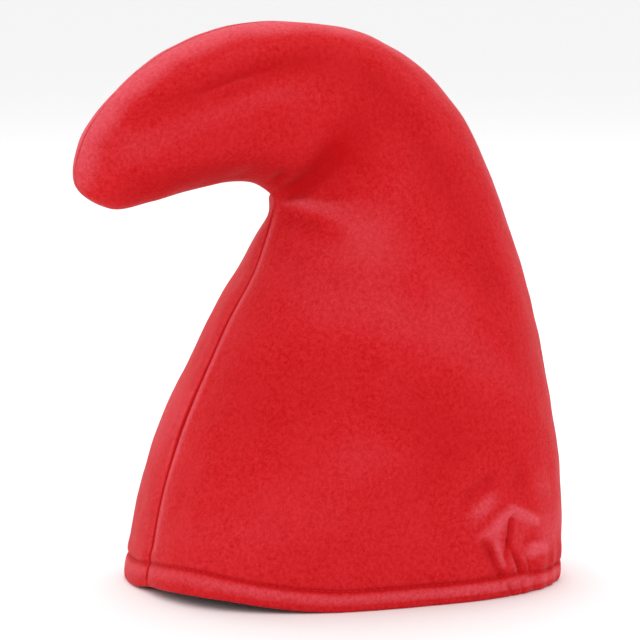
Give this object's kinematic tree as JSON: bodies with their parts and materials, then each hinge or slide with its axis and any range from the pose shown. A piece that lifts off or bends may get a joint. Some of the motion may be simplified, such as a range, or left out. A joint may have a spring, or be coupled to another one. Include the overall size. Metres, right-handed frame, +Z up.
{
  "type": "gnome hat",
  "caption": "Soft red fleece gnome hat, a tall cap whose rounded peak curls over to the front, with a stitched hem gathered at the nape.",
  "frame": {"origin": "middle of the bounding box's base, on the surface that the rim stands on", "axes": "+Z up, -Y to the front where the peak points, +X to the wearer's left"},
  "size_m": [0.1768, 0.2452, 0.2742],
  "materials": {
    "red_fleece": "brushed nap, matt",
    "white_elastic": "woven elastic, matt"
  },
  "bodies": {
    "root": {"left_panel": "red_fleece", "right_panel": "red_fleece", "nape_elastic": "white_elastic"}
  },
  "joints": []
}
